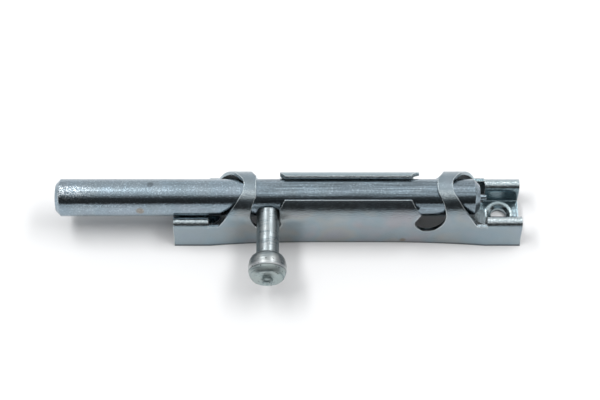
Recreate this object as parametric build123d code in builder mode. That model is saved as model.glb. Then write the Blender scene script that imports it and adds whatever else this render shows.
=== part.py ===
from build123d import *
import math
import os

os.makedirs("parts", exist_ok=True)

# Door plane is z = 0, the bolt runs along X, and the handle faces -Y at rest.

# Rod
rod_d = 16.0
rod_left = -124.4
rod_right = 56.2
rod_chamfer_left = 1.9
rod_chamfer_right = 2.4
rod_nub_d = 3.0
rod_nub_len = 3.1
rod_nub_taper = 0.4
axis_z = 16.7

# Sheet housing
sheet_t = 1.6
housing_len = 149.0
wall_out = 12.4
crown_gap = 0.55
tab_drop = 0.6
hem_len = 15.0
hem_r = 3.0
hem_gap = 0.05
flare_end = 1.8
flare_mid_x = 46.0
flare_mid = 0.85
flare_low_x = 30.0
flare_low = 0.2
flare_zero_x = 15.0
base_lift = 2.3
base_bend_r = 0.4
tongue_len = 5.0
tongue_r = 5.8
slot_gap = 0.47
turn_gap = 0.2
lobe_x = 34.3
hook_over = 1.3
hook_rise = 3.1
tab_slope = 4.0
lobe_gap = 2.3
strap_over = 1.5
strap_w = 6.4
notch_len = 4.4
notch_drop = 4.2
cut_over = 3.0

# Screw holes
hole_x = 66.0
hole_d = 6.7
csk_d = 8.8
csk_angle = 45.0
dish_r = 5.95
dish_depth = 0.6
dish_under_r = 5.6
dish_foot_r = 4.6

# Handle pin
pin_shift = 0.35
shaft_d = 9.6
shaft_chamfer = 0.4
seat_dist = 7.3
seat_gap = 0.02
bore_gap = 0.05
spigot_d = 6.0
spigot_chamfer = 0.5
spigot_gap = 0.03
spigot_end = 4.5
head_start = 28.9
head_swell = 1.8
head_full = 34.8
head_end = 39.6
head_d = 16.1
face_d = 11.6
pin_nub_d = 4.8
pin_nub_round = 2.2
pin_nub_len = 2.8

# Derived sizes
rod_r = rod_d / 2
wall_in = wall_out - sheet_t
half_len = housing_len / 2
hem_x = half_len - hem_len
hem_y = wall_out - hem_r
hem_z = axis_z - ((rod_r + hem_r + hem_gap) ** 2 - hem_y ** 2) ** 0.5
strap_zc = axis_z + rod_r + crown_gap - wall_in
tab_zc = strap_zc - tab_drop
base_top = base_lift + sheet_t
inner_wall = hem_y - hem_r
bend_out = base_bend_r + sheet_t
rise = rod_r + crown_gap + sheet_t
pin_x = pin_shift - lobe_x
hook_x = lobe_x - shaft_d / 2 + hook_over
strap_x = lobe_x + shaft_d / 2 - strap_over
lobe_drop = shaft_d / 2 + lobe_gap
slot_tan = math.tan(math.asin((shaft_d / 2 + slot_gap) / wall_in))
slot_top = 2 * wall_out
csk_drop = (csk_d - hole_d) / 2 * math.tan(math.radians(csk_angle))
dish_seat = base_top - dish_depth
dish_mid_r = (dish_r + csk_d / 2) / 2
pin_seat = seat_dist + seat_gap
head_r = head_d / 2


def half_round(zc):
    with BuildSketch() as outline:
        with BuildLine():
            ThreePointArc((-wall_out, zc), (0, zc + wall_out), (wall_out, zc))
            Line((wall_out, zc), (-wall_out, zc))
        make_face()
    return outline.sketch


def wall(zc):
    with BuildSketch() as outline:
        with BuildLine():
            Polyline((wall_in, hem_z), (wall_out, hem_z), (wall_out, zc), (wall_in, zc), (wall_in, hem_z))
        make_face()
    return outline.sketch


def leg(flare):
    with BuildSketch() as outline:
        with BuildLine():
            Bezier((wall_out, hem_z), (wall_out, hem_z / 2), (wall_out + flare, 0))
            Line((wall_out + flare, 0), (wall_in + flare, 0))
            Bezier((wall_in + flare, 0), (wall_in, hem_z / 2), (wall_in, hem_z))
            Line((wall_in, hem_z), (wall_out, hem_z))
        make_face()
    return outline.sketch


def folded_end():
    hem_in = hem_r - sheet_t
    flat = inner_wall - base_bend_r
    under = inner_wall + sheet_t
    with BuildSketch() as outline:
        with BuildLine():
            for s in (1, -1):
                Line((s * (wall_in + flare_end), 0), (s * (wall_out + flare_end), 0))
                Bezier((s * (wall_out + flare_end), 0), (s * wall_out, hem_z / 2), (s * wall_out, hem_z))
                ThreePointArc((s * wall_out, hem_z), (s * hem_y, hem_z + hem_r), (s * inner_wall, hem_z))
                Line((s * inner_wall, hem_z), (s * inner_wall, base_top + base_bend_r))
                RadiusArc((s * inner_wall, base_top + base_bend_r), (s * flat, base_top), s * base_bend_r)
                Bezier((s * (wall_in + flare_end), 0), (s * wall_in, hem_z / 2), (s * wall_in, hem_z))
                ThreePointArc((s * wall_in, hem_z), (s * hem_y, hem_z + hem_in), (s * under, hem_z))
                Line((s * under, hem_z), (s * under, base_lift + bend_out))
                RadiusArc((s * under, base_lift + bend_out), (s * flat, base_lift), s * bend_out)
            Line((-flat, base_top), (flat, base_top))
            Line((-flat, base_lift), (flat, base_lift))
        make_face()
    return outline.sketch


def lobe():
    # Side outline of one locking lobe, from the strap's edge round to the tab's hook.
    z = axis_z
    low = z - lobe_drop
    top = z + rise
    with BuildSketch() as outline:
        with BuildLine():
            Spline((strap_x, top + 0.15), (strap_x + 0.8, top - 0.7), (strap_x + 2.0, top - 1.75),
                   (strap_x + 2.9, top - 3.2), (strap_x + 3.55, z + 4.7), (strap_x + 3.75, z + 2.3),
                   (strap_x + 3.2, z - 0.4), (strap_x + 1.0, low + 2.35), (lobe_x + 1.4, low),
                   (lobe_x - 1.4, low - 0.35), (hook_x - 0.4, low + 1.1), (hook_x - 2.1, z - 3.6),
                   (hook_x - 2.5, z - 1.0), (hook_x - 1.3, z + hook_rise - 1.7), (hook_x, z + hook_rise))
            Polyline((hook_x, z + hook_rise), (hook_x - tab_slope, top - 2.1),
                     (hook_x - tab_slope, top + cut_over), (strap_x, top + cut_over), (strap_x, top + 0.15))
        make_face()
    return outline.sketch


def end_gap():
    # Side outline of the cut between a strap and its folded end.
    z = axis_z
    top = z + rise
    x = strap_x + strap_w
    notch_x = hem_x - notch_len
    floor = z - notch_drop
    with BuildSketch() as outline:
        with BuildLine():
            Spline((x, top + 0.25), (x + 0.35, top - 0.2), (x + 1.7, top - 1.05), (x + 3.3, top - 2.45),
                   (x + 5.5, top - 4.85), (notch_x - 3.3, z + 2.1), (notch_x, floor + 0.5))
            Polyline((notch_x, floor + 0.5), (notch_x, floor), (hem_x, floor), (hem_x, top + cut_over),
                     (x, top + cut_over), (x, top + 0.25))
        make_face()
    return outline.sketch


# Half-round forms whose outsides are the crowns of a tab pair and of a strap
with BuildPart() as tab_form:
    with BuildSketch(Plane.YZ):
        add(half_round(tab_zc))
    extrude(amount=lobe_x)
    with BuildSketch(Plane.YZ):
        with BuildLine():
            Polyline((0, tab_zc), (-slot_top * slot_tan, tab_zc + slot_top),
                     (slot_top * slot_tan, tab_zc + slot_top), (0, tab_zc))
        make_face()
    extrude(amount=lobe_x, mode=Mode.SUBTRACT)
    with BuildSketch(Plane.XZ):
        add(lobe())
    extrude(amount=2 * wall_out, both=True, mode=Mode.SUBTRACT)

with BuildPart() as strap_form:
    with BuildSketch(Plane.YZ.offset(lobe_x)):
        add(half_round(strap_zc))
    extrude(amount=hem_x - lobe_x)
    with BuildSketch(Plane.XZ):
        add(lobe())
        add(end_gap())
    extrude(amount=2 * wall_out, both=True, mode=Mode.SUBTRACT)

with BuildPart() as housing:
    # Upright walls of one half
    with BuildSketch(Plane.YZ):
        add(wall(tab_zc))
    extrude(amount=lobe_x)
    with BuildSketch(Plane.YZ.offset(lobe_x)):
        add(wall(strap_zc))
    extrude(amount=hem_x - lobe_x)
    # Lower walls, flaring toward the end
    with BuildSketch(Plane.YZ):
        add(leg(0))
    extrude(amount=flare_zero_x)
    with BuildSketch(Plane.YZ.offset(flare_zero_x)):
        add(leg(0))
    with BuildSketch(Plane.YZ.offset(flare_low_x)):
        add(leg(flare_low))
    with BuildSketch(Plane.YZ.offset(flare_mid_x)):
        add(leg(flare_mid))
    with BuildSketch(Plane.YZ.offset(hem_x)):
        add(leg(flare_end))
    loft()
    mirror(about=Plane.XZ)
    # Lobe and end cuts
    with BuildSketch(Plane.XZ):
        add(lobe())
        add(end_gap())
    extrude(amount=2 * wall_out, both=True, mode=Mode.SUBTRACT)
    # Crowns, one sheet thick
    for skin in tab_form.faces().filter_by(GeomType.CYLINDER):
        thicken(skin, amount=-sheet_t)
    for skin in strap_form.faces().filter_by(GeomType.CYLINDER):
        thicken(skin, amount=-sheet_t)
    # Folded end with its tongue
    with BuildSketch(Plane.YZ.offset(hem_x)):
        add(folded_end())
    extrude(amount=hem_len)
    with BuildSketch(Plane.XY.offset(base_lift)):
        with Locations((hem_x + tongue_r - tongue_len, 0)):
            Circle(tongue_r)
    extrude(amount=sheet_t)
    # Dished and countersunk screw hole
    with BuildSketch(Plane.XZ):
        with BuildLine():
            Polyline((hole_x, 0), (hole_x + dish_foot_r, 0), (hole_x + dish_under_r, base_lift),
                     (hole_x, base_lift), (hole_x, 0))
        make_face()
    revolve(axis=Axis((hole_x, 0, 0), (0, 0, 1)))
    with BuildSketch(Plane.XZ):
        with BuildLine():
            Polyline((hole_x + dish_r, base_top), (hole_x, base_top), (hole_x, 0), (hole_x + hole_d / 2, 0),
                     (hole_x + hole_d / 2, dish_seat - csk_drop), (hole_x + csk_d / 2, dish_seat))
            Bezier((hole_x + csk_d / 2, dish_seat), (hole_x + dish_mid_r, base_top),
                   (hole_x + dish_r, base_top))
        make_face()
    revolve(axis=Axis((hole_x, 0, 0), (0, 0, 1)), mode=Mode.SUBTRACT)
    mirror(about=Plane.YZ)
    # Clearance for the handle to turn where it lies
    with BuildSketch(Plane.XY.offset(axis_z)):
        with Locations((pin_x, 0)):
            Rectangle(shaft_d + 2 * turn_gap, 4 * wall_out)
    extrude(amount=rise + cut_over, mode=Mode.SUBTRACT)
housing.part.label = "housing"

with BuildPart() as bolt_rod:
    with BuildSketch(Plane.XZ):
        with BuildLine():
            Polyline((rod_left, axis_z), (rod_left, axis_z + rod_r - rod_chamfer_left),
                     (rod_left + rod_chamfer_left, axis_z + rod_r),
                     (rod_right - rod_chamfer_right, axis_z + rod_r),
                     (rod_right, axis_z + rod_r - rod_chamfer_right), (rod_right, axis_z + rod_nub_d / 2),
                     (rod_right + rod_nub_len, axis_z + rod_nub_d / 2 - rod_nub_taper),
                     (rod_right + rod_nub_len, axis_z), (rod_left, axis_z))
        make_face()
    revolve(axis=Axis((0, 0, axis_z), (1, 0, 0)))
    # Spot-faced seat and cross hole for the handle pin
    pin_plane = Plane((pin_x, 0, axis_z), x_dir=(1, 0, 0), z_dir=(0, -1, 0))
    with BuildSketch(pin_plane.offset(seat_dist)):
        Circle(shaft_d / 2 + bore_gap)
    extrude(amount=rod_d, mode=Mode.SUBTRACT)
    with BuildSketch(pin_plane.offset(-spigot_end - spigot_gap)):
        Circle(spigot_d / 2 + spigot_gap)
    extrude(amount=rod_d, mode=Mode.SUBTRACT)
bolt_rod.part.label = "bolt_rod"

with BuildPart() as handle_pin:
    with BuildSketch(Plane((pin_x, 0, axis_z), x_dir=(1, 0, 0), z_dir=(0, 0, -1))):
        with BuildLine():
            Polyline((0, -spigot_end), (spigot_d / 2 - spigot_chamfer, -spigot_end),
                     (spigot_d / 2, -spigot_end + spigot_chamfer), (spigot_d / 2, pin_seat),
                     (shaft_d / 2 - shaft_chamfer, pin_seat), (shaft_d / 2, pin_seat + shaft_chamfer),
                     (shaft_d / 2, head_start))
            Bezier((shaft_d / 2, head_start), (shaft_d / 2 + head_swell, head_start),
                   (head_r, head_start + head_swell), (head_r, head_full))
            Bezier((head_r, head_full), (head_r, (head_full + head_end) / 2),
                   ((head_r + face_d / 2) / 2, head_end), (face_d / 2, head_end))
            Polyline((face_d / 2, head_end), (pin_nub_d / 2, head_end),
                     (pin_nub_d / 2, head_end + pin_nub_len - pin_nub_round))
            Spline((pin_nub_d / 2, head_end + pin_nub_len - pin_nub_round), (0, head_end + pin_nub_len),
                   tangents=((0, 1), (-1, 0)))
            Line((0, head_end + pin_nub_len), (0, -spigot_end))
        make_face()
    revolve(axis=Axis((pin_x, 0, axis_z), (0, 1, 0)))
handle_pin.part.label = "handle_pin"

export_step(housing.part, "parts/housing.step")
export_step(bolt_rod.part, "parts/bolt_rod.step")
export_step(handle_pin.part, "parts/handle_pin.step")
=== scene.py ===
import math

import bpy
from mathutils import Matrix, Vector


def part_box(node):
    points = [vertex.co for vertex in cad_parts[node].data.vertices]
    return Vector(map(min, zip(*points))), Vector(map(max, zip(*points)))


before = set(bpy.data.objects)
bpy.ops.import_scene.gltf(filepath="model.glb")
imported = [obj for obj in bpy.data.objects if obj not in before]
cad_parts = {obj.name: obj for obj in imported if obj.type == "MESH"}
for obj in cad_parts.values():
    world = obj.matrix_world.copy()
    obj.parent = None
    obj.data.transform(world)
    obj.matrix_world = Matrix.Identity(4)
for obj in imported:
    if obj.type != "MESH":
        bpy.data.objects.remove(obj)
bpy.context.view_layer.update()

bl_info = {
    "name": "Door bolt looks",
    "version": (1, 0, 0),
    "blender": (4, 5, 0),
    "location": "View3D > Sidebar > Door bolt",
    "description": "Zinc finishes, studio light and camera for a round door bolt",
    "category": "Material",
}

PHOTO_WIDTH = 600
SENSOR_WIDTH_MM = 36.0
NEAR_CLIP = 0.01

ROD_LOW, ROD_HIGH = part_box("bolt_rod")
AXIS_Z = ROD_HIGH.z - (ROD_HIGH.y - ROD_LOW.y) / 2

# Zones of the part in metres: a coordinate, the two places that a fade runs between, and its
# share at each. Several rows are multiplied. half_x is the distance from the housing's middle.
FRONT_FILM = (("Y", (-0.0120, -0.0070), (0.5, 0.08)),)
REAR_HALF = (("Y", (-0.0050, 0.0040), (0.0, 0.6)),)
END_WALL = (("half_x", (0.040, 0.060), (0.0, 0.6)), ("Y", (-0.0100, -0.0085), (1.0, 0.0)))
STRAP = (
    ("half_x", (0.0330, 0.0360), (0.0, 1.0)),
    ("half_x", (0.0575, 0.0595), (1.0, 0.0)),
    ("Z", (0.016, 0.022), (0.0, 1.0)),
)
# Painted highlight zone: the strap shoulders, made lighter where they face the overhead light.
STRAP_SHOULDER = STRAP + (
    ("Y", (-0.0066, -0.0056), (0.0, 0.6)),
    ("Y", (-0.0034, -0.0016), (1.0, 0.0)),
    ("Z", (0.023, 0.024), (0.0, 1.0)),
)
# Painted highlight zone: the tops of the hems, made lighter where they face the overhead light.
HEM_TOP = (("half_x", (0.0588, 0.0596), (0.0, 1.0)), ("Z", (0.0127, 0.0134), (0.0, 1.0)))
# Painted shade zone: the foot edge, darkened as a contact shadow where the wall meets the floor.
FOOT_CONTACT_SHADE = (("Z", (0.0005, 0.0013), (0.7, 0.0)),)
ABOVE_FOOT = (("Z", (0.0015, 0.0035), (0.0, 1.0)),)
BETWEEN_ENDS = (("half_x", (0.0560, 0.0575), (1.0, 0.0)),)
REAR_TAB = (
    ("half_x", (0.0305, 0.0325), (1.0, 0.0)),
    ("Y", (0.001, 0.002), (0.0, 1.0)),
    ("Z", (0.017, 0.018), (0.0, 1.0)),
)
# Painted shade with sliding streaks: the rod is darker where it lies in the housing under the
# tabs.
ROD_SHADED_AND_RUBBED = (("X", (-0.046, -0.034), (0.0, 1.0)),)
# Painted shade zone: the lower part of the rod's inner end.
ROD_LOWER = (("Z", (AXIS_Z + 0.0030, AXIS_Z + 0.0052), (1.0, 0.05)),)
# The rod's tip, upper front band: dark specks, and painted glints where light would sparkle.
ROD_TIP = (
    ("X", (-0.1222, -0.1030), (1.0, 0.0)),
    ("X", (-0.1234, -0.1226), (0.0, 1.0)),
    ("Y", (-0.0060, -0.0046), (0.0, 1.0)),
    ("Y", (0.0, 0.0020), (1.0, 0.0)),
)

# Limits in Y, in metres: the stretch of the handle's head that its ramp covers, and the flat end.
HEAD_STRETCH = (-0.0400, -0.0340)
FLAT_END = (-0.0365, -0.0362)
# A face's distance from the rod's axis along its own normal, in metres, is negative on the inside.
INWARD = (-0.0060, -0.0040)

# Spots in metres: place, radius, soft border, and share of the spot's colour.
# Painted highlight: the plate around each screw seat is made lighter.
SCREW_SEAT_HIGHLIGHTS = tuple(((x, 0.0, 0.0037), 0.0056, 0.0007, 0.6) for x in (-0.066, 0.066))
WALL_STAIN = ((0.0238, -0.0126, 0.0022), 0.0007, 0.0012, 0.7)
# Painted shade in the recess under the rod's end, at the housing's right end.
END_RECESS_SHADE = ((0.0570, -0.0028, 0.0039), 0.0042, 0.0012, 0.75)
ROD_STAIN = ((-0.0882, -0.0078, AXIS_Z + 0.0017), 0.0012, 0.0010, 0.9)
ROD_DARK_SPOT = ((-0.0839, 0.0018, AXIS_Z + 0.0078), 0.0009, 0.0010, 0.5)

# Tints of single places, and ramps of stop and colour.
# Painted highlight colour for the screw seats.
SEAT_HIGHLIGHT_TINT = (0.56, 0.66, 0.68)
END_WALL_TINT = (0.268, 0.352, 0.402)
# Painted shade colours: the foot edge, the housing's inside and the end recess.
FOOT_SHADE_TINT = (0.08, 0.09, 0.095)
INSIDE_SHADE_TINT = (0.060, 0.068, 0.073)
RECESS_SHADE_TINT = (0.09, 0.105, 0.11)
ROD_STAIN_TINT = (0.25, 0.225, 0.195)
ROD_SPOT_TINT = (0.06, 0.065, 0.07)
# Painted shade colour for the lower part of the rod's inner end.
INNER_END_SHADE_TINT = (0.07, 0.075, 0.08)
# Painted glint colour for the specks at the rod's tip.
GLINT_SPECK_TINT = (0.80, 0.85, 0.88)
TURNED_TINT = (0.355, 0.367, 0.360)
TURNED_SHARE = 0.5
PIT_TINT = (0.05, 0.055, 0.055)
RAINBOW = (
    (0.32, (0.36, 0.32, 0.33)),
    (0.44, (0.27, 0.34, 0.37)),
    (0.55, (0.37, 0.35, 0.31)),
    (0.68, (0.34, 0.32, 0.36)),
)
GRAIN_GAIN = (
    (0.36, (0.96, 0.99, 1.02)),
    (0.56, (1.06, 1.10, 1.14)),
    (0.68, (1.44, 1.47, 1.50)),
)
# Ramp along the head from its flat end: a greener face, a dark turned groove, then a painted
# highlight on the rim.
HEAD_TONE_AND_RIM_HIGHLIGHT = (
    (0.54, (1.12, 1.22, 1.20)),
    (0.57, (0.60, 0.63, 0.63)),
    (0.61, (0.60, 0.63, 0.63)),
    (0.65, (1.55, 1.52, 1.52)),
    (0.78, (1.50, 1.48, 1.48)),
    (0.88, (0.95, 0.96, 0.96)),
)

# The floor lies just under the part, so that the two don't share a plane.
FLOOR_DROP = 0.00005
FLOOR_COLOUR = (0.74, 0.74, 0.745, 1.0)
FLOOR_ROUGHNESS = 0.75
FLOOR_SPECULAR = 0.2

# Lamps in metres and watts: name, place, aim, width, height, power, and on_metal: true for
# highlights on the metal only, false for light and shadow on the floor only.
LAMPS = (
    ("left_soft_box", (-0.47, 0.08, 0.85), (0.0, 0.08, 0.0), 0.75, 0.18, 5.0, False),
    ("right_soft_box", (0.47, 0.08, 0.85), (0.0, 0.08, 0.0), 0.75, 0.24, 4.6, False),
    ("left_back_strip", (-0.47, 0.57, 0.81), (0.0, 0.0, 0.0), 0.24, 0.40, 1.8, True),
    ("right_back_strip", (0.47, 0.57, 0.81), (0.0, 0.0, 0.0), 0.24, 0.40, 1.8, True),
    ("left_top_lamp", (-0.23, 0.2, 0.8), (-0.1, 0.0, 0.0), 0.12, 0.12, 0.08, True),
)

# Brightness of the room over the half turn from the rear horizon, over the top, to the front one.
ROOM_STOPS = (
    (0.0, 0.95), (0.17, 0.86), (0.26, 1.00), (0.34, 1.20), (0.42, 1.16), (0.49, 1.08),
    (0.56, 0.92), (0.625, 0.36), (0.69, 0.08), (0.77, 0.05), (0.89, 0.05), (0.905, 0.45),
    (0.92, 0.75), (1.0, 0.95),
)
ROOM_TINT = (0.985, 1.0, 1.01)
# The room dims towards both ends of the bolt: limits of the direction's X, and strengths there.
ROOM_SIDES = ((0.35, 0.9), (1.0, 0.6))


class DoorBoltFinish(bpy.types.PropertyGroup):
    """Colours and wear of the zinc plate."""

    zinc: bpy.props.FloatVectorProperty(
        name="Zinc", description="Main colour of the plate", subtype="COLOR", size=3,
        default=(0.295, 0.358, 0.402), min=0.0, max=1.0)
    zinc_dull: bpy.props.FloatVectorProperty(
        name="Dull zinc", description="Colour of the duller patches", subtype="COLOR", size=3,
        default=(0.245, 0.298, 0.330), min=0.0, max=1.0)
    rear: bpy.props.FloatVectorProperty(
        name="Rear", description="Colour of the housing's rear half", subtype="COLOR", size=3,
        default=(0.225, 0.330, 0.362), min=0.0, max=1.0)
    # Colour painted on the hems' tops and strap shoulders as a highlight.
    painted_sheen: bpy.props.FloatVectorProperty(
        name="Worn zinc", description="Colour of rubbed hems and straps", subtype="COLOR", size=3,
        default=(0.60, 0.67, 0.69), min=0.0, max=1.0)
    stain: bpy.props.FloatVectorProperty(
        name="Stain", description="Colour of the front wall's brown spot", subtype="COLOR", size=3,
        default=(0.23, 0.17, 0.12), min=0.0, max=1.0)
    # Colour of the burnished cut edges, also used as their painted highlight.
    edge: bpy.props.FloatVectorProperty(
        name="Edge", description="Colour of the burnished cut edges", subtype="COLOR", size=3,
        default=(0.74, 0.80, 0.82), min=0.0, max=1.0)
    edge_round: bpy.props.FloatProperty(
        name="Edge round", description="Radius that catches light on cut edges", unit="LENGTH",
        default=0.00055, min=0.0)


class DoorBoltStage(bpy.types.PropertyGroup):
    """Camera and floor of the studio."""

    elevation: bpy.props.FloatProperty(
        name="Camera elevation", description="Height angle of the camera", subtype="ANGLE",
        default=math.radians(58.6))
    distance: bpy.props.FloatProperty(
        name="Camera distance", description="Camera to the bolt's axis", unit="LENGTH",
        default=0.65)
    focal_pixels: bpy.props.FloatProperty(
        name="Focal length", description="Focal length in photograph pixels", default=1520.0)
    aim_x: bpy.props.FloatProperty(
        name="Aim along the bolt", description="Where the view centre meets the bolt",
        unit="LENGTH", default=-0.0204)
    aim_drop: bpy.props.FloatProperty(
        name="Aim drop", description="How far the view centre lies below the bolt's axis",
        unit="LENGTH", default=0.00103)
    floor_size: bpy.props.FloatProperty(
        name="Floor size", description="Side of the pale floor", unit="LENGTH", default=6.0)


def darker(colour, share):
    """A share of a colour's brightness."""
    return tuple(share * part for part in colour)


def fill_range(node, between, shares):
    """Sets the four limits of a Map Range node."""
    for key, number in zip(("From Min", "From Max", "To Min", "To Max"), (*between, *shares)):
        node.inputs[key].default_value = number


def fill_ramp(node, stops):
    """Gives a Color Ramp node its stops."""
    elements = node.color_ramp.elements
    while len(elements) < len(stops):
        elements.new(0.5)
    for element, (place, colour) in zip(elements, stops):
        element.position = place
        element.color = (*colour, 1.0)


class NodeBench:
    """Adds and links the nodes of one material."""

    def __init__(self, name):
        self.material = bpy.data.materials.new(name)
        self.material.use_nodes = True
        self.tree = self.material.node_tree
        self.shader = self.tree.nodes["Principled BSDF"]
        source = self.add("ShaderNodeTexCoord")
        self.coords = source.outputs["Object"]
        self.place = self.parts(self.coords)
        self.facing = self.parts(source.outputs["Normal"])

    def add(self, kind, **settings):
        """A new node with its settings."""
        node = self.tree.nodes.new(kind)
        for key, value in settings.items():
            setattr(node, key, value)
        return node

    def link(self, source, target):
        self.tree.links.new(source, target)

    def parts(self, vector):
        """A vector's components by their letters, and half_x, the size of X without its sign."""
        node = self.add("ShaderNodeSeparateXYZ")
        self.link(vector, node.inputs["Vector"])
        found = {axis: node.outputs[axis] for axis in "XYZ"}
        found["half_x"] = self.math("ABSOLUTE", found["X"])
        return found

    def mapped(self, scale=(1, 1, 1), shift=(0, 0, 0)):
        """Object coordinates, shifted and then scaled."""
        node = self.add("ShaderNodeMapping", vector_type="POINT")
        node.inputs["Location"].default_value = [-s * k for s, k in zip(shift, scale)]
        node.inputs["Scale"].default_value = scale
        self.link(self.coords, node.inputs["Vector"])
        return node.outputs["Vector"]

    def noise(self, scale, detail=3.0, rough=0.5, vector=None):
        """Noise on Object coordinates, or on a vector made from them."""
        node = self.add("ShaderNodeTexNoise")
        node.inputs["Scale"].default_value = scale
        node.inputs["Detail"].default_value = detail
        node.inputs["Roughness"].default_value = rough
        self.link(vector or self.coords, node.inputs["Vector"])
        return node.outputs["Fac"]

    def ramp(self, factor, stops):
        node = self.add("ShaderNodeValToRGB")
        fill_ramp(node, stops)
        self.link(factor, node.inputs["Fac"])
        return node.outputs["Color"]

    def span(self, value, between, shares, smooth=True):
        """Fades from one share to another while a value runs between two limits."""
        curve = "SMOOTHSTEP" if smooth else "LINEAR"
        node = self.add("ShaderNodeMapRange", interpolation_type=curve)
        fill_range(node, between, shares)
        self.link(value, node.inputs["Value"])
        return node.outputs["Result"]

    def math(self, operation, first, second=0.0):
        node = self.add("ShaderNodeMath", operation=operation)
        for socket, value in zip(node.inputs, (first, second)):
            if isinstance(value, (int, float)):
                socket.default_value = value
            else:
                self.link(value, socket)
        return node.outputs["Value"]

    def times(self, first, *others):
        """Product of shares."""
        for other in others:
            first = self.math("MULTIPLY", first, other)
        return first

    def zone(self, rows):
        """Share of a zone of the part."""
        return self.times(*(self.span(self.place[axis], *limits) for axis, *limits in rows))

    def spot(self, place, radius, soft, share):
        """A share inside a ball around a place, falling to nothing outside it."""
        node = self.add("ShaderNodeVectorMath", operation="DISTANCE")
        self.link(self.coords, node.inputs[0])
        node.inputs[1].default_value = place
        return self.span(node.outputs["Value"], (radius, radius + soft), (share, 0.0))

    def mix(self, factor, first, second, blend="MIX"):
        """Two colours mixed by a share, each a socket or a plain value."""
        node = self.add("ShaderNodeMix", data_type="RGBA", blend_type=blend)
        sockets = (node.inputs[0], node.inputs[6], node.inputs[7])
        for socket, value in zip(sockets, (factor, first, second)):
            if isinstance(value, (int, float)):
                socket.default_value = value
            elif isinstance(value, tuple):
                socket.default_value = (*value, 1.0)
            else:
                self.link(value, socket)
        return node.outputs[2]

    def bump(self, height, strength, distance, normal):
        """A normal tilted by a height."""
        node = self.add("ShaderNodeBump")
        node.inputs["Strength"].default_value = strength
        node.inputs["Distance"].default_value = distance
        self.link(height, node.inputs["Height"])
        self.link(normal, node.inputs["Normal"])
        return node.outputs["Normal"]

    def rounded_edges(self, radius):
        """Normals that round off the sharp edges."""
        node = self.add("ShaderNodeBevel", samples=6)
        node.inputs["Radius"].default_value = radius
        return node.outputs["Normal"]

    def metal(self, colour, roughness, normal):
        """Links a metal's colour, roughness and normal, and gives the material."""
        self.shader.inputs["Metallic"].default_value = 1.0
        self.link(colour, self.shader.inputs["Base Color"])
        self.link(roughness, self.shader.inputs["Roughness"])
        self.link(normal, self.shader.inputs["Normal"])
        return self.material


def plate_colour(bench, finish, film_share):
    """Bluish zinc with soft patches, a faint rainbow film and fine dark specks."""
    patches = bench.noise(scale=110.0, detail=5.0, rough=0.62)
    colour = bench.ramp(patches, ((0.34, tuple(finish.zinc_dull)), (0.66, tuple(finish.zinc))))
    film = bench.noise(scale=60.0, detail=2.0, vector=bench.mapped(shift=(0.3, 0.1, 0.2)))
    colour = bench.mix(film_share, colour, bench.ramp(film, RAINBOW))
    specks = bench.span(bench.noise(scale=1700.0, detail=2.0), (0.62, 0.72), (0.0, 0.45))
    return bench.mix(specks, colour, darker(finish.zinc_dull, 0.5))


def sheet_colour(bench, finish):
    """Plate of the housing: bluer ends, teal rear, and a painted highlight on the hems' tops and
    the strap shoulders.
    """
    colour = plate_colour(bench, finish, bench.zone(FRONT_FILM))
    off_strap = bench.math("SUBTRACT", 1.0, bench.zone(STRAP))
    colour = bench.mix(bench.times(bench.zone(REAR_HALF), off_strap), colour, tuple(finish.rear))
    colour = bench.mix(bench.zone(END_WALL), colour, END_WALL_TINT)
    # Painted highlight on the hems' tops and strap shoulders, broken up by grain.
    sheen_grain = bench.noise(scale=1900.0, detail=2.0, rough=0.65)
    painted_sheen = bench.math("MAXIMUM", bench.zone(HEM_TOP), bench.zone(STRAP_SHOULDER))
    painted_sheen = bench.times(painted_sheen, bench.span(sheen_grain, (0.36, 0.64), (0.25, 1.0)))
    return bench.mix(painted_sheen, colour, tuple(finish.painted_sheen))


def sheet_marks(bench, colour, finish):
    """Painted highlights around the screw seats, a brown stain, and painted shade on the foot
    edge, the inside and the end recess.
    """
    # Painted highlight around each screw seat.
    for seat in SCREW_SEAT_HIGHLIGHTS:
        colour = bench.mix(bench.spot(*seat), colour, SEAT_HIGHLIGHT_TINT)
    colour = bench.mix(bench.spot(*WALL_STAIN), colour, tuple(finish.stain))
    # Painted contact shadow along the foot edge.
    colour = bench.mix(bench.zone(FOOT_CONTACT_SHADE), colour, FOOT_SHADE_TINT)
    # Painted shade on the faces turned towards the rod's axis, between the ends of the housing.
    above_axis = bench.math("SUBTRACT", bench.place["Z"], AXIS_Z)
    from_axis = bench.math("ADD", bench.times(bench.place["Y"], bench.facing["Y"]),
                           bench.times(above_axis, bench.facing["Z"]))
    inside = bench.span(from_axis, INWARD, (0.85, 0.0))
    colour = bench.mix(bench.times(inside, bench.zone(BETWEEN_ENDS)), colour, INSIDE_SHADE_TINT)
    # Painted shade in the end recess under the rod's end.
    return bench.mix(bench.spot(*END_RECESS_SHADE), colour, RECESS_SHADE_TINT)


def cut_faces(bench, colour, finish):
    """Lighter sheared faces along the bolt and on the rear tab's upper edge: bare cut metal,
    partly a painted highlight.
    """
    # Partly painted highlight on the faces turned along the bolt and on the rear tab's cut face.
    ends = bench.span(bench.facing["half_x"], (0.25, 0.45), (0.0, 0.2))
    tab = bench.span(bench.facing["Y"], (-0.70, -0.40), (0.85, 0.0))
    tab = bench.times(tab, bench.zone(REAR_TAB))
    return bench.mix(bench.math("MAXIMUM", ends, tab), colour, tuple(finish.edge))


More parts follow.
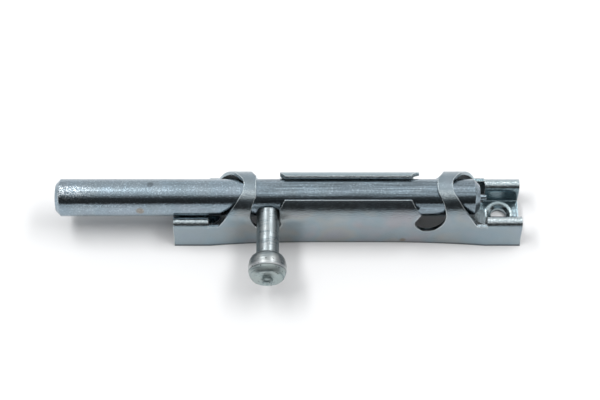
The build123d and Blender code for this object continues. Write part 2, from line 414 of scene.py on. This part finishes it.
def edge_highlight_and_wear(bench, colour, rounded, finish):
    """Painted highlight on cut edges, partly burnished plate, where the rounded normal leaves the
    face's own.
    """
    lean = bench.add("ShaderNodeVectorMath", operation="DOT_PRODUCT")
    bench.link(rounded, lean.inputs[0])
    bench.link(bench.add("ShaderNodeNewGeometry").outputs["Normal"], lean.inputs[1])
    edge = bench.span(lean.outputs["Value"], (0.92, 0.995), (0.9, 0.0))
    return bench.mix(bench.times(edge, bench.zone(ABOVE_FOOT)), colour, tuple(finish.edge))


def sheet_zinc(finish):
    """Pressed sheet: satin and grained, with bright cut edges that are partly a painted highlight.
    """
    bench = NodeBench("sheet_zinc")
    rounded = bench.rounded_edges(finish.edge_round)
    colour = sheet_marks(bench, sheet_colour(bench, finish), finish)
    colour = edge_highlight_and_wear(bench, cut_faces(bench, colour, finish), rounded, finish)
    roughness = bench.span(bench.noise(scale=420.0), (0.3, 0.7), (0.15, 0.25))
    waves = bench.noise(scale=250.0, detail=1.0)
    normal = bench.bump(waves, strength=0.04, distance=0.0002, normal=rounded)
    grain = bench.noise(scale=1700.0, detail=1.0, rough=0.6)
    normal = bench.bump(grain, strength=0.40, distance=0.0002, normal=normal)
    return bench.metal(colour, roughness, normal)


def bar_colour(bench, finish, streaks, grain):
    """Plate of the rod: streaks, painted shade with sliding streaks where it lies in the housing,
    two spots, painted shade on the lower inner end, and dark specks and painted glints at its tip.
    """
    colour = plate_colour(bench, finish, film_share=0.12)
    faint = bench.span(streaks, (0.45, 0.7), (0.0, 0.25))
    colour = bench.mix(faint, colour, darker(finish.zinc_dull, 0.75))
    # Painted shade where the housing covers the rod, broken into sliding streaks.
    rubbed_and_painted_light = bench.times(bench.zone(ROD_SHADED_AND_RUBBED), bench.span(streaks, (0.36, 0.64), (0.15, 0.75)))
    colour = bench.mix(rubbed_and_painted_light, colour, darker(finish.zinc_dull, 0.55))
    colour = bench.mix(bench.spot(*ROD_STAIN), colour, ROD_STAIN_TINT)
    colour = bench.mix(bench.spot(*ROD_DARK_SPOT), colour, ROD_SPOT_TINT)
    # Painted shade on the lower part of the rod's end face inside the housing.
    inner_end_shade = bench.span(bench.facing["X"], (0.3, 0.5), (0.0, 0.7))
    colour = bench.mix(bench.times(inner_end_shade, bench.zone(ROD_LOWER)), colour, INNER_END_SHADE_TINT)
    colour = bench.mix(1.0, colour, bench.ramp(grain, GRAIN_GAIN), "MULTIPLY")
    tip = bench.zone(ROD_TIP)
    dents = bench.noise(scale=1500.0, detail=2.0, rough=0.6)
    dark = bench.times(tip, bench.span(dents, (0.38, 0.46), (0.7, 0.0)))
    colour = bench.mix(dark, colour, darker(finish.zinc_dull, 0.5))
    # Painted glints: light specks in the upper front band of the rod's tip.
    bright = bench.times(tip, bench.span(dents, (0.49, 0.58), (0.0, 0.8)))
    return bench.mix(bright, colour, GLINT_SPECK_TINT)


def bar_zinc(finish):
    """Drawn bar: brighter and peened, with faint streaks along its length."""
    bench = NodeBench("bar_zinc")
    streaks = bench.noise(scale=1200.0, detail=2.0, rough=0.6,
                          vector=bench.mapped(scale=(0.04, 1.0, 1.0)))
    grain = bench.noise(scale=1250.0, detail=2.0, rough=0.65)
    satin = bench.noise(scale=900.0, vector=bench.mapped(scale=(0.3, 1.0, 1.0)))
    roughness = bench.span(satin, (0.3, 0.7), (0.10, 0.18))
    rounded = bench.rounded_edges(finish.edge_round)
    normal = bench.bump(streaks, strength=0.15, distance=0.0002, normal=rounded)
    normal = bench.bump(grain, strength=0.28, distance=0.0002, normal=normal)
    return bench.metal(bar_colour(bench, finish, streaks, grain), roughness, normal)


def turned_zinc(finish):
    """Turned handle: fine rings around its own axis, pits, a painted highlight on the rim and a
    duller face.
    """
    bench = NodeBench("turned_zinc")
    plate = plate_colour(bench, finish, film_share=0.45)
    colour = bench.mix(TURNED_SHARE, plate, TURNED_TINT)
    rings = bench.noise(scale=1300.0, detail=2.0, rough=0.65,
                        vector=bench.mapped(scale=(0.12, 1.0, 0.12)))
    grooves = bench.span(rings, (0.50, 0.64), (0.0, 0.6))
    colour = bench.mix(grooves, colour, darker(finish.zinc_dull, 0.55))
    pits = bench.span(bench.noise(scale=900.0, detail=2.0), (0.64, 0.70), (0.0, 0.7))
    colour = bench.mix(pits, colour, PIT_TINT)
    # Painted highlight on the head's rim, together with the face's tone and the groove.
    along = bench.span(bench.place["Y"], HEAD_STRETCH, (0.0, 1.0), smooth=False)
    colour = bench.mix(1.0, colour, bench.ramp(along, HEAD_TONE_AND_RIM_HIGHLIGHT), "MULTIPLY")
    satin = bench.span(bench.noise(scale=500.0), (0.3, 0.7), (0.26, 0.36))
    dull_end = bench.span(bench.place["Y"], FLAT_END, (0.13, 0.04))
    roughness = bench.math("ADD", satin, dull_end)
    rounded = bench.rounded_edges(finish.edge_round)
    normal = bench.bump(rings, strength=0.50, distance=0.00016, normal=rounded)
    fine = bench.noise(scale=1100.0, detail=2.0)
    normal = bench.bump(fine, strength=0.30, distance=0.0001, normal=normal)
    return bench.metal(colour, roughness, normal)


def give_finish(node, material):
    """Puts one material on every slot of a CAD node."""
    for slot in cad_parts[node].material_slots:
        slot.material = material


class DOORBOLT_OT_housing(bpy.types.Operator):
    """Give the folded housing its zinc sheet finish"""

    bl_idname = "doorbolt.housing"
    bl_label = "Finish housing"

    def execute(self, context):
        give_finish("housing", sheet_zinc(context.scene.doorbolt_finish))
        return {"FINISHED"}


class DOORBOLT_OT_rod(bpy.types.Operator):
    """Give the round bolt its drawn bar finish"""

    bl_idname = "doorbolt.rod"
    bl_label = "Finish bolt rod"

    def execute(self, context):
        give_finish("bolt_rod", bar_zinc(context.scene.doorbolt_finish))
        return {"FINISHED"}


class DOORBOLT_OT_handle(bpy.types.Operator):
    """Give the handle pin its turned finish"""

    bl_idname = "doorbolt.handle"
    bl_label = "Finish handle pin"

    def execute(self, context):
        give_finish("handle_pin", turned_zinc(context.scene.doorbolt_finish))
        return {"FINISHED"}


def pale_floor(size):
    """White floor under the part."""
    bpy.ops.mesh.primitive_plane_add(size=size, location=(0, 0, -FLOOR_DROP))
    floor = bpy.context.active_object
    floor.name = "floor"
    material = bpy.data.materials.new("pale_floor")
    material.use_nodes = True
    shader = material.node_tree.nodes["Principled BSDF"]
    shader.inputs["Base Color"].default_value = FLOOR_COLOUR
    shader.inputs["Roughness"].default_value = FLOOR_ROUGHNESS
    shader.inputs["Specular IOR Level"].default_value = FLOOR_SPECULAR
    floor.data.materials.append(material)


def soft_box(name, place, aim, width, height, power, on_metal):
    """A soft rectangular light that faces a point, for the metal's highlights or for the floor."""
    data = bpy.data.lights.new(name, "AREA")
    data.shape = "RECTANGLE"
    data.size = width
    data.size_y = height
    data.energy = power
    lamp = bpy.data.objects.new(name, data)
    lamp.location = place
    lamp.rotation_mode = "QUATERNION"
    lamp.rotation_quaternion = (Vector(aim) - Vector(place)).to_track_quat("-Z", "Y")
    lamp.visible_glossy = on_metal
    lamp.visible_diffuse = not on_metal
    bpy.context.scene.collection.objects.link(lamp)


def studio_room():
    """Soft grey room: bright overhead and behind, dark in front."""
    world = bpy.data.worlds.new("studio_room")
    bpy.context.scene.world = world
    world.use_nodes = True
    nodes = world.node_tree.nodes
    link = world.node_tree.links.new
    split = nodes.new("ShaderNodeSeparateXYZ")
    link(nodes.new("ShaderNodeTexCoord").outputs["Generated"], split.inputs["Vector"])
    angle = nodes.new("ShaderNodeMath")
    angle.operation = "ARCTAN2"
    link(split.outputs["Z"], angle.inputs[0])
    link(split.outputs["Y"], angle.inputs[1])
    turn = nodes.new("ShaderNodeMapRange")
    fill_range(turn, (0.0, math.pi), (0.0, 1.0))
    link(angle.outputs["Value"], turn.inputs["Value"])
    ramp = nodes.new("ShaderNodeValToRGB")
    fill_ramp(ramp, [(place, darker(ROOM_TINT, grey)) for place, grey in ROOM_STOPS])
    link(turn.outputs["Result"], ramp.inputs["Fac"])
    side = nodes.new("ShaderNodeMath")
    side.operation = "ABSOLUTE"
    link(split.outputs["X"], side.inputs[0])
    fade = nodes.new("ShaderNodeMapRange")
    fade.interpolation_type = "SMOOTHSTEP"
    fill_range(fade, *ROOM_SIDES)
    link(side.outputs["Value"], fade.inputs["Value"])
    back = nodes["Background"]
    link(ramp.outputs["Color"], back.inputs["Color"])
    link(fade.outputs["Result"], back.inputs["Strength"])


def photo_camera(stage):
    """Camera at the photograph's angle."""
    data = bpy.data.cameras.new("photo_camera")
    data.sensor_width = SENSOR_WIDTH_MM
    data.lens = stage.focal_pixels / PHOTO_WIDTH * data.sensor_width
    data.clip_start = NEAR_CLIP
    camera = bpy.data.objects.new("photo_camera", data)
    rise = stage.elevation
    back = Vector((0.0, -math.cos(rise), math.sin(rise)))
    screen_up = Vector((0.0, math.sin(rise), math.cos(rise)))
    aim = Vector((stage.aim_x, 0.0, AXIS_Z)) - stage.aim_drop * screen_up
    camera.location = aim + stage.distance * back
    camera.rotation_mode = "QUATERNION"
    camera.rotation_quaternion = (-back).to_track_quat("-Z", "Y")
    bpy.context.scene.collection.objects.link(camera)
    bpy.context.scene.camera = camera


class DOORBOLT_OT_stage(bpy.types.Operator):
    """Build the floor, the lights and the camera"""

    bl_idname = "doorbolt.stage"
    bl_label = "Build stage"

    def execute(self, context):
        stage = context.scene.doorbolt_stage
        pale_floor(stage.floor_size)
        studio_room()
        for lamp in LAMPS:
            soft_box(*lamp)
        photo_camera(stage)
        view = context.scene.view_settings
        view.view_transform = "Standard"
        view.look = "None"
        return {"FINISHED"}


class DOORBOLT_PT_panel(bpy.types.Panel):
    """Door bolt steps in the sidebar"""

    bl_idname = "DOORBOLT_PT_panel"
    bl_label = "Door bolt"
    bl_space_type = "VIEW_3D"
    bl_region_type = "UI"
    bl_category = "Door bolt"

    def draw(self, context):
        layout = self.layout
        for operator in OPERATORS:
            layout.operator(operator.bl_idname)
        for group in (context.scene.doorbolt_finish, context.scene.doorbolt_stage):
            for key in group.__annotations__:
                layout.prop(group, key)


OPERATORS = (DOORBOLT_OT_housing, DOORBOLT_OT_rod, DOORBOLT_OT_handle, DOORBOLT_OT_stage)
CLASSES = (DoorBoltFinish, DoorBoltStage, *OPERATORS, DOORBOLT_PT_panel)


def register():
    for cls in CLASSES:
        bpy.utils.register_class(cls)
    bpy.types.Scene.doorbolt_finish = bpy.props.PointerProperty(type=DoorBoltFinish)
    bpy.types.Scene.doorbolt_stage = bpy.props.PointerProperty(type=DoorBoltStage)


def unregister():
    del bpy.types.Scene.doorbolt_stage
    del bpy.types.Scene.doorbolt_finish
    for cls in reversed(CLASSES):
        bpy.utils.unregister_class(cls)


def main():
    register()
    bpy.ops.doorbolt.housing()
    bpy.ops.doorbolt.rod()
    bpy.ops.doorbolt.handle()
    bpy.ops.doorbolt.stage()


if __name__ == "__main__":
    main()
